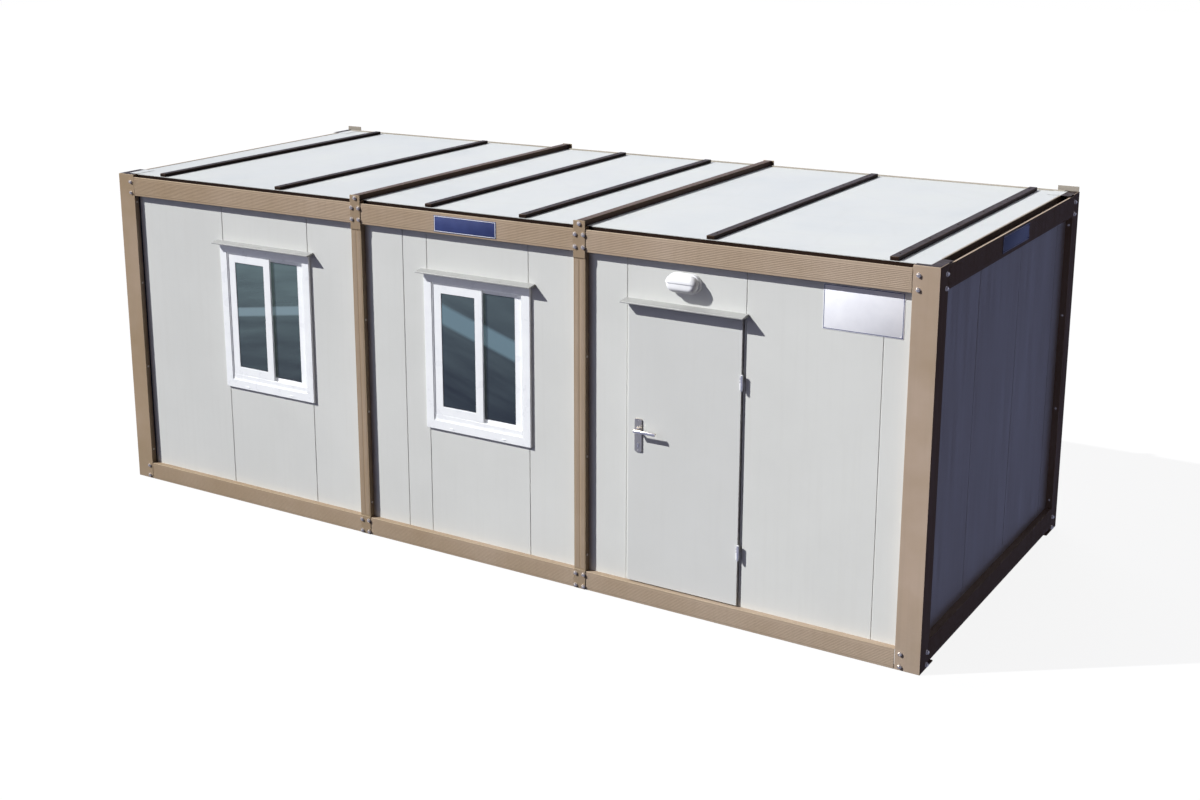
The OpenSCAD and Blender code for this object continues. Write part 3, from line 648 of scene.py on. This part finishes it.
def hex_bolt(bm, spot, out):
    """Add a washer, a hexagon head with a rounded rim and the bolt's end, standing on a face."""
    spot, out = Vector(spot), Vector(out)
    post(bm, spot, out, WASHER_T, WASHER_R, WASHER_R * 0.96, 18)
    head = post(bm, spot + out * WASHER_T, out, HEAD_T, HEAD_R, HEAD_R, 6)
    middle = spot + out * (WASHER_T + HEAD_T / 2)
    top = {p for p in head if (p.co - middle).dot(out) > 0}
    rim = list({e for p in top for e in p.link_edges if e.other_vert(p) in top})
    bmesh.ops.bevel(bm, geom=rim, offset=HEAD_RIM, segments=1, profile=0.5, affect="EDGES",
                    material=-1)
    post(bm, spot + out * (WASHER_T + HEAD_T), out, END_T, END_R, END_R * 0.8, 10)


bm = bmesh.new()
for low, high, way_x, way_y in corner_posts:
    bolt_x = low.x + BOLT_IN if way_x > 0 else high.x - BOLT_IN
    for z in POST_BOLT_HEIGHTS:
        hex_bolt(bm, (bolt_x, way_y * half_w, z), (0, way_y, 0))
        hex_bolt(bm, (way_x * half_l, way_y * (half_w - END_BOLT_IN), z), (way_x, 0, 0))
for face, way in ((plates_low.y, -1), (plates_high.y, 1)):
    for centre in (-column_mid, column_mid):
        for dx, z in PLATE_BOLTS:
            hex_bolt(bm, (centre + dx, face, z), (0, way, 0))
place_piece("frame_bolts", bm, zinc, smooth=30)

# %% [markdown]
# ## Screw heads
# A pan head is a thin washer under two short cones, which is as round as it looks from a few
# metres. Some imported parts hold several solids, such as the roof's seam caps, and the screws and
# gaskets have to find each one. A second helper walks along the edges to tell them apart.

# %% Screws and separate solids
def pan_screw(bm, spot, out, size=0.0065):
    """Add a thin washer and a low domed head."""
    spot, out = Vector(spot), Vector(out)
    for foot, depth, radius, tip in ((0.0, 0.001, 1.4, 1.4), (0.001, 0.0015, 1.0, 0.9),
                                     (0.0025, 0.0015, 0.9, 0.45)):
        post(bm, spot + out * foot, out, depth, size * radius, size * tip, 12)


def solids_of(part):
    """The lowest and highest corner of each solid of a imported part, from left to right."""
    copy = bmesh.new()
    copy.from_mesh(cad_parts[part].data)
    bmesh.ops.remove_doubles(copy, verts=copy.verts, dist=WELD_DIST)
    left, found = set(copy.verts), []
    while left:
        shell, edge = set(), [left.pop()]
        while edge:
            point = edge.pop()
            shell.add(point)
            near = {e.other_vert(point) for e in point.link_edges} & left
            left -= near
            edge.extend(near)
        found.append([Vector([pick(p.co[i] for p in shell) for i in range(3)])
                      for pick in (min, max)])
    copy.free()
    return sorted(found, key=lambda box: box[0].x)


# %% [markdown]
# ## Panel and cap screws
# Pan-head screws hold the panels to the flanges of the frame, four to a post and three to each
# side of a column. Smaller ones, painted over, hold the caps over the roof's seams.

# %% Panel and cap screws
SCREW_HEIGHTS, FLANGE_IN, END_FLANGE_IN = (0.26, 1.00, 1.73, 2.42), 0.024, 0.150
CAP_SCREWS, CAP_SCREW_IN = 6, 0.10
bm = bmesh.new()
for low, high, way_x, way_y in corner_posts:
    for z in SCREW_HEIGHTS:
        pan_screw(bm, (post_low.x * way_x, way_y * (half_w - FLANGE_IN), z), (-way_x, 0, 0))
        pan_screw(bm, (way_x * (half_l - FLANGE_IN), way_y * (half_w - END_FLANGE_IN), z),
                  (0, -way_y, 0))
for face in (-1, 1):
    for centre in (-column_mid, column_mid):
        for side in (-1, 1):
            for z in SCREW_HEIGHTS[:3]:
                edge = centre + side * (column_high.x - column_mid)
                pan_screw(bm, (edge, face * (half_w - FLANGE_IN), z), (side, 0, 0))
place_piece("panel_screws", bm, zinc, smooth=30)

bm = bmesh.new()
for low, high in solids_of("roof_seam_caps"):
    for step in range(CAP_SCREWS):
        y = low.y + CAP_SCREW_IN + step * (high.y - low.y - 2 * CAP_SCREW_IN) / (CAP_SCREWS - 1)
        pan_screw(bm, ((low.x + high.x) / 2, y, high.z), (0, 0, 1), 0.005)
place_piece("seam_cap_screws", bm, brown_coat, smooth=30)

# %% [markdown]
# ## Roof edges
# The sheets end in three kinds of edge. Along the front and rear a dark brown drip edge closes
# the panels' foam and hangs into the gutter; its dark brown, also on the ends' sheet edges, is
# partly painted shade along the sheet edges. The ends have a thin pale angle over the sheet, and
# the rear has a low upstand. A black rubber strip lies in the gutters as painted shade, so they
# read as black lines.

# %% Roof edges
CAP_LEFT, CAP_RIGHT, EDGE_IN, END_IN = 0.05, 0.031, 0.004, 0.018
GUTTER_LIP, GUTTER_END_Y = 0.0145, 1.33
sheets = [(roof_low.x, -column_mid - CAP_LEFT), (-column_mid + CAP_RIGHT, column_mid - CAP_LEFT),
          (column_mid + CAP_RIGHT, roof_high.x)]
edge_z, gutter_z = roof_low.z + 0.004, roof_low.z + 0.0002
front_y, rear_y = roof_low.y + EDGE_IN, roof_high.y - EDGE_IN

# The brown edges and the black gutter strips are painted shade at the sheet edges and in the
# gutters.
bm, ledges, gutters = bmesh.new(), bmesh.new(), bmesh.new()
for x0, x1 in sheets:
    for face in (-1, 1):
        y = face * roof_high.y
        bar(bm, (x0, y + face * 0.0002, edge_z), (x1, y + face * 0.0016, roof_high.z - 0.004),
            0.0004)
        bar(bm, (x0, y, edge_z), (x1, y + face * 0.007, edge_z + 0.0015), 0.0004)
    bar(ledges, (x0 + END_IN, roof_high.y - 0.012, roof_high.z + 0.0001),
        (x1 - END_IN, roof_high.y, roof_high.z + 0.010), 0.001)
for side in (-1, 1):
    x = side * roof_high.x
    bar(bm, (x + side * 0.0002, front_y, edge_z), (x + side * 0.0018, rear_y, roof_high.z - 0.005),
        0.0004)
    bar(ledges, (x - side * 0.010, front_y, roof_high.z - 0.0045),
        (x + side * 0.0022, rear_y, roof_high.z + 0.0018), 0.0005)
    bar(gutters, (x + side * 0.004, -GUTTER_END_Y, gutter_z),
        (side * (half_l - GUTTER_LIP), GUTTER_END_Y, gutter_z + 0.003), 0.0008)
    for x0, x1 in bays:
        bar(gutters, (x0 + 0.01, side * (roof_high.y + 0.009), gutter_z),
            (x1 - 0.01, side * (half_w - GUTTER_LIP), gutter_z + 0.003), 0.0008)
place_piece("drip_edges_with_painted_shade", bm, brown_coat)
place_piece("roof_flashings", ledges, ledge_coat)
place_piece("gutter_painted_shade_strips", gutters, rubber)

# %% [markdown]
# ## Corners of the roof
# Each post ends in an open square, which is closed with a thin cap whose dark brown is painted
# shade. The roof sheet runs on over it as a small square, so only a dark line of painted shade
# shows at the edge. The two rear posts carry a low upright plate, where the cabin is lifted or
# stacked. All three are thin bars.

# %% Post caps, sheet corners and rear head plates
CAP_MARGIN, CAP_FOOT, CAP_TOP, SHEET_TOP = 0.005, 0.0001, 0.0009, 0.0026
caps, squares, heads = bmesh.new(), bmesh.new(), bmesh.new()
for low, high, way_x, way_y in corner_posts:
    bar(caps, (low.x + CAP_MARGIN, low.y + CAP_MARGIN, high.z + CAP_FOOT),
        (high.x - CAP_MARGIN, high.y - CAP_MARGIN, high.z + CAP_TOP), 0.0002)
    inner = (low.x if way_x > 0 else high.x, low.y if way_y > 0 else high.y)
    outer = (roof_high.x if way_x > 0 else roof_low.x, roof_high.y if way_y > 0 else roof_low.y)
    bar(squares, (*inner, high.z + 0.001), (*outer, high.z + SHEET_TOP), 0.0004)
    if way_y > 0:
        bar(heads, (low.x + 0.012, high.y - 0.012, high.z - 0.004),
            (high.x - 0.003, high.y - 0.007, plates_high.z - 0.002), 0.0012)
place_piece("post_caps_painted_shade", caps, brown_coat)
place_piece("roof_sheet_corners", squares, roof_coat)
place_piece("rear_head_plates", heads, ledge_coat)

# %% [markdown]
# ## Panel gaskets
# The wall panels are pushed against the posts over a black foam gasket. Its black is painted
# shade: it widens the dark line of shade beside the corner posts, and sets the pale wall off from
# the beige frame.

# %% Panel gaskets
GASKET_W, GASKET_T, GASKET_FOOT = 0.013, 0.004, 0.142
beam_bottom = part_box("roof_beam_front")[0].z
wall_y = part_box("wall_front_left_bay")[0].y
bm = bmesh.new()
for face in (-1, 1):
    for x in (-post_low.x, post_low.x - GASKET_W):
        bar(bm, (x, -face * wall_y, GASKET_FOOT),
            (x + GASKET_W, -face * (wall_y - GASKET_T), beam_bottom), 0.0015)
place_piece("panel_gaskets_painted_shade", bm, rubber)

# %% [markdown]
# ## Lamp over the door
# The lamp is a moulded bulkhead light: an oval base, a domed frosted lens and an eyelid over its
# upper half. A dome could be spun, but an oval isn't round. A flat oval face that is extruded
# and then inset many times, with each step following a quarter ellipse, makes the dome.

# %% Oval domes
OVAL_SIDES = 48


def oval_dome(bm, low, high, back, wall, rise, shrink, steps=7):
    """Build an oval block with a domed front between two corners, seen from -Y."""
    radius, straight = (high.z - low.z) / 2, (high.x - low.x - high.z + low.z) / 2
    centre = Vector(((low.x + high.x) / 2, back, (low.z + high.z) / 2))
    turned = facing(centre, (0, -1, 0)) @ Matrix.Rotation(pi / OVAL_SIDES, 4, "Z")
    points = bmesh.ops.create_circle(bm, cap_ends=True, segments=OVAL_SIDES, radius=radius,
                                     matrix=turned)["verts"]
    for point in points:
        point.co.x += straight if point.co.x > centre.x else -straight
    bottom = points[0].link_faces[0]
    raised = bmesh.ops.extrude_face_region(bm, geom=[bottom], use_keep_orig=True)["geom"]
    lid = [g for g in raised if isinstance(g, bmesh.types.BMFace)][0]
    bmesh.ops.translate(bm, verts=lid.verts, vec=(0, -wall, 0))
    bmesh.ops.recalc_face_normals(bm, faces=bm.faces)
    for step in range(steps):
        a, b = step / steps * pi / 2, (step + 1) / steps * pi / 2
        bmesh.ops.inset_region(bm, faces=[lid], thickness=(cos(a) - cos(b)) * shrink,
                               depth=(sin(b) - sin(a)) * rise, use_even_offset=True)


# %% [markdown]
# ## Lamp pieces
# The eyelid is a slightly larger dome, cut off below its middle, opened at the back and given a
# thickness. The white mouldings throw no light on the wall, which would look like a lit lamp.

# %% Lamp pieces
BASE_WALL, LENS_WALL, EYELID_GAP, EYELID_T, EYELID_TILT = 0.026, 0.012, 0.0045, 0.002, -0.12
base_low, base_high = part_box("lamp_base")
lens_low, lens_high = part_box("lamp_lens")
bm = bmesh.new()
oval_dome(bm, base_low, base_high, base_high.y, BASE_WALL, base_high.y - base_low.y - BASE_WALL,
          0.009)
base = place_piece("lamp_bulkhead", bm, lamp_white, smooth=40)
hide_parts("lamp_base")

bm = bmesh.new()
oval_dome(bm, lens_low, lens_high, base_low.y, LENS_WALL, base_low.y - lens_low.y - LENS_WALL,
          0.036)
lens = place_piece("lamp_dome", bm, lamp_frost, smooth=60)
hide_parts("lamp_lens")

bm = bmesh.new()
reach = Vector((EYELID_GAP, 0, EYELID_GAP))
oval_dome(bm, lens_low - reach, lens_high + reach, base_low.y - 0.001, 0.013,
          base_low.y - lens_low.y - 0.014 + EYELID_GAP, 0.038, steps=9)
cut_z = (base_low.z + base_high.z) / 2 + 0.004
bmesh.ops.bisect_plane(bm, geom=list(bm.verts) + list(bm.edges) + list(bm.faces),
                       plane_co=(0, base_low.y, cut_z), plane_no=(0, EYELID_TILT, -1),
                       clear_outer=True)
back = [f for f in bm.faces
        if abs(f.normal.y) > 0.99 and f.calc_center_median().y > base_low.y - 0.001]
bmesh.ops.delete(bm, geom=back, context="FACES")
bmesh.ops.recalc_face_normals(bm, faces=bm.faces)
front = min(bm.faces, key=lambda f: f.calc_center_median().y)
if front.normal.y > 0:
    bmesh.ops.reverse_faces(bm, faces=bm.faces)
bmesh.ops.solidify(bm, geom=list(bm.faces), thickness=EYELID_T)
eyelid = place_piece("lamp_eyelid", bm, lamp_white, smooth=40)
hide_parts("lamp_visor")
for moulding in (base, lens, eyelid):
    moulding.visible_diffuse = False

# %% [markdown]
# ## Window gaskets, welds, track lips and drain caps
# A PVC window is mitred and welded at its corners, its glass sits in black gaskets, the sashes
# run behind a thin lip, and small hooded caps on the sill let rain out. All are small rounded
# bars; the welds across the corners are made flat and then turned by 45 degrees.

# %% Window details
PANE_GASKET, WELD, TRIM_W, STEP_IN, LIP_IN, LIP_W, LIP_H = (0.003, 0.0012, 0.068, 0.009, 0.0725,
                                                            0.003, 0.004)
CAP_HALF, CAP_OUT, CAP_LOW, CAP_HIGH = 0.016, 0.004, 0.018, 0.025
weld_half = (TRIM_W * sqrt(2) - 0.008) / 2
gaskets, welds = bmesh.new(), bmesh.new()
for side in ("left", "right"):
    for low, high in solids_of("window_" + side + "_glass"):
        y0, y1 = low.y - 0.0015, low.y - 0.0001
        for x in (low.x, high.x - PANE_GASKET):
            bar(gaskets, (x, y0, low.z), (x + PANE_GASKET, y1, high.z), 0.0004)
        for z in (low.z, high.z - PANE_GASKET):
            bar(gaskets, (low.x + PANE_GASKET, y0, z), (high.x - PANE_GASKET, y1, z + PANE_GASKET),
                0.0004)
    low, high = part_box("window_" + side + "_frame")
    for corner_x, way_x in ((low.x, 1), (high.x, -1)):
        for corner_z, way_z in ((low.z, 1), (high.z, -1)):
            before = set(welds.verts)
            bar(welds, (-weld_half, -WELD / 2, -WELD / 2), (weld_half, WELD / 2, WELD / 2), 0.0003)
            middle = Vector((corner_x + way_x * TRIM_W / 2, low.y, corner_z + way_z * TRIM_W / 2))
            spin = Matrix.Rotation(-pi / 4 * way_x * way_z, 4, "Y")
            bmesh.ops.transform(welds, matrix=Matrix.Translation(middle) @ spin,
                                verts=[p for p in welds.verts if p not in before])
    near, far = low.y + STEP_IN - LIP_H, low.y + STEP_IN
    left, right, foot, head = (low.x + LIP_IN, high.x - LIP_IN - LIP_W, low.z + LIP_IN,
                               high.z - LIP_IN - LIP_W)
    for x in (left, right):
        bar(welds, (x, near, foot), (x + LIP_W, far, head + LIP_W), 0.0006)
    for z in (foot, head):
        bar(welds, (left + LIP_W, near, z), (right, far, z + LIP_W), 0.0006)
    for part in (0.25, 0.75):
        x = low.x + part * (high.x - low.x)
        bar(welds, (x - CAP_HALF, low.y - CAP_OUT, low.z + CAP_LOW),
            (x + CAP_HALF, low.y, low.z + CAP_HIGH), 0.002)
place_piece("glazing_gaskets", gaskets, rubber)
place_piece("window_welds_and_caps", welds, white_pvc)

# %% [markdown]
# ## Door lock
# The handle plate carries a profile cylinder below the lever, with a keyway, and is held by a
# screw at each end. The cylinder is a round plug over a narrow foot, so it is a post and a bar.

# %% Lock cylinder and its screws
CYLINDER_R, CYLINDER_Z, CYLINDER_OUT, FOOT_HALF, FOOT_H = 0.0085, 1.170, 0.004, 0.005, 0.025
KEYWAY_W, KEYWAY_H, PLATE_SCREW_IN = 0.0009, 0.005, 0.014
plate_low, plate_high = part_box("handle_plates")
axis_x = (plate_low.x + plate_high.x) / 2
bm, keyway = bmesh.new(), bmesh.new()
for face, way in ((plate_low.y, -1), (plate_high.y, 1)):
    out, front = Vector((0, way, 0)), face + way * CYLINDER_OUT
    post(bm, Vector((axis_x, face, CYLINDER_Z)), out, CYLINDER_OUT, CYLINDER_R,
         CYLINDER_R * 0.94, 28)
    bar(bm, (axis_x - FOOT_HALF, face, CYLINDER_Z - FOOT_H),
        (axis_x + FOOT_HALF, face + way * CYLINDER_OUT * 0.9, CYLINDER_Z), 0.001)
    bar(keyway, (axis_x - KEYWAY_W, front, CYLINDER_Z - KEYWAY_H),
        (axis_x + KEYWAY_W, front + way * 0.0003, CYLINDER_Z + KEYWAY_H), 0.0001)
    for z in (plate_low.z + PLATE_SCREW_IN, plate_high.z - PLATE_SCREW_IN):
        pan_screw(bm, (axis_x, face, z), out, 0.0032)
place_piece("lock_cylinder", bm, lever_steel, "door", smooth=30)
place_piece("lock_keyway", keyway, rubber, "door")

# %% [markdown]
# ## Lever rose
# A turned collar hides the hole where the lever's neck goes through the plate. Its small slanted
# outline is spun full circle round the lever's axis, and leaves room for the neck to turn.

# %% Lever rose
SPINDLE_Z, ROSE_IN, ROSE_OUT, ROSE_TIP, ROSE_FOOT, ROSE_H = (1.272, 0.0098, 0.0185, 0.0168,
                                                             0.0002, 0.005)
bm = bmesh.new()
for face, way in ((plate_low.y, -1), (plate_high.y, 1)):
    at = Vector((axis_x, face, SPINDLE_Z))
    outline = [bm.verts.new(at + Vector((radius, way * height, 0)))
               for radius, height in ((ROSE_IN, ROSE_FOOT), (ROSE_OUT, ROSE_FOOT),
                                      (ROSE_TIP, ROSE_H), (ROSE_IN, ROSE_H))]
    ring = [bm.edges.new((outline[i], outline[(i + 1) % 4])) for i in range(4)]
    bmesh.ops.spin(bm, geom=outline + ring, cent=at, axis=(0, 1, 0), dvec=(0, 0, 0), angle=2 * pi,
                   steps=32, use_merge=True)
bmesh.ops.remove_doubles(bm, verts=bm.verts, dist=1e-6)
bmesh.ops.recalc_face_normals(bm, faces=bm.faces)
place_piece("lever_rose", bm, lever_steel, "door", smooth=40)

# %% [markdown]
# ## Door seal
# A rubber seal runs round the stop behind the leaf, and shows as a dark line when the door is
# open. It is three thin bars that meet at the upper corners, and it stays on the frame.

# %% Door seal
SEAL_W, SEAL_T, SEAL_IN, SEAL_GAP, SEAL_SOFT = 0.008, 0.0035, 0.002, 0.0049, 0.0012
door_low, door_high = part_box("door_leaf")
stop_y, seal_in = door_high.y + SEAL_GAP, SEAL_IN + SEAL_W
bm = bmesh.new()
for x in (door_low.x + SEAL_IN, door_high.x - seal_in):
    bar(bm, (x, stop_y - SEAL_T, door_low.z + 0.004),
        (x + SEAL_W, stop_y, door_high.z - seal_in), SEAL_SOFT)
bar(bm, (door_low.x + seal_in, stop_y - SEAL_T, door_high.z - seal_in),
    (door_high.x - seal_in, stop_y, door_high.z - SEAL_IN), SEAL_SOFT)
place_piece("door_seal", bm, rubber)

# %% [markdown]
# ## Hinge caps and plates
# Each lift-off hinge has small end caps, and a narrow plate on the leaf with screws through it.
# The lower cap stays on the frame's pin; the rest goes with the leaf, which lifts off over it.

# %% Hinge caps and screws
HINGE_X, HINGE_Y, HINGE_HEIGHTS, HINGE_H = 2.207, -1.480, (0.535, 1.725), 0.105
KNUCKLE_R, FLAG_T, FLAG_PLATE_T, FLAG_PLATE_W = 0.0085, 0.004, 0.0025, 0.009
knuckle_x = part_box("hinge_knuckles")[0].x
caps, flags = bmesh.new(), bmesh.new()
for z in HINGE_HEIGHTS:
    foot, head = z - HINGE_H / 2, z + HINGE_H / 2
    for group, end, way in ((caps, foot, -1), (flags, head, 1)):
        out, at = Vector((0, 0, way)), Vector((HINGE_X, HINGE_Y, end))
        post(group, at, out, 0.0012, KNUCKLE_R, KNUCKLE_R, 20)
        post(group, at + out * 0.0012, out, 0.002, KNUCKLE_R * 0.8, KNUCKLE_R * 0.4, 20)
    bar(flags, (knuckle_x - 0.001, door_low.y - FLAG_PLATE_T, foot),
        (knuckle_x + FLAG_PLATE_W, door_low.y - 0.0001, head), 0.0008)
    for dz in (-0.040, -0.013, 0.013, 0.040):
        at = door_low.y - (FLAG_T if dz > 0 else FLAG_PLATE_T)
        pan_screw(flags, (knuckle_x + FLAG_PLATE_W / 2, at, z + dz), (0, -1, 0), 0.0028)
place_piece("hinge_end_caps", caps, hinge_plate, smooth=40)
place_piece("hinge_leaf_plates", flags, lamp_white, "door", smooth=40)

# %% [markdown]
# ## Blank plates
# Makers fix a name plate to the front beam, to the end beam and to the wall beside the post.
# These carry no words or marks here: they are plain enamelled plates with a rivet near each
# corner and a thin line inside the rim, made as thin bars with rounded edges.

# %% Blank plates
RIVET_IN, RIVET_SIZE, PLATE_RIM, PLATE_LINE, LINE_PROUD = 0.014, 0.003, 0.004, 0.004, 0.0004


def blank_plate(name, low, high, out, finish, line_finish):
    """Place a thin plate between two corners, with four rivets and a line, and no lettering."""
    low, high, out = Vector(low), Vector(high), Vector(out)
    along, face = (1, high.x) if out.x else (0, low.y)

    def on_face(a, z, lift=0.0):
        """A point on the plate's outer face, from its place along the plate and its height."""
        return (face + lift, a, z) if out.x else (a, face - lift, z)

    bm, rim = bmesh.new(), bmesh.new()
    bar(bm, low, high, 0.0006)
    for a in (low[along] + RIVET_IN, high[along] - RIVET_IN):
        for z in (low.z + RIVET_IN, high.z - RIVET_IN):
            pan_screw(bm, on_face(a, z), out, RIVET_SIZE)
    place_piece(name, bm, finish, smooth=30)
    a0, a1, z0, z1 = (low[along] + PLATE_RIM, high[along] - PLATE_RIM, low.z + PLATE_RIM,
                      high.z - PLATE_RIM)
    for b0, b1, c0, c1 in ((a0, a1, z0, z0 + PLATE_LINE), (a0, a1, z1 - PLATE_LINE, z1),
                           (a0, a0 + PLATE_LINE, z0 + PLATE_LINE, z1 - PLATE_LINE),
                           (a1 - PLATE_LINE, a1, z0 + PLATE_LINE, z1 - PLATE_LINE)):
        bar(rim, on_face(b0, c0), on_face(b1, c1, LINE_PROUD), 0.0001)
    place_piece(name + "_line", rim, line_finish)


wall_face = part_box("wall_front_door_bay")[0].y
blank_plate("blank_plate_beam", (-0.250, -half_w - 0.0035, 2.489),
            (0.292, -half_w - 0.0005, 2.610), (0, -1, 0), blank_blue, blank_white)
blank_plate("blank_plate_wall", (2.744, wall_face - 0.0025, 2.164),
            (3.274, wall_face - 0.0002, 2.458), (0, -1, 0), blank_white, blank_blue)
blank_plate("blank_plate_end", (half_l + 0.0005, -0.310, 2.512),
            (half_l + 0.0035, 0.260, 2.628), (1, 0, 0), blank_blue, blank_white)

# %% [markdown]
# The small parts stand a little proud of the imported ones. The box round everything that is
# shown is measured here.

low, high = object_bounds()
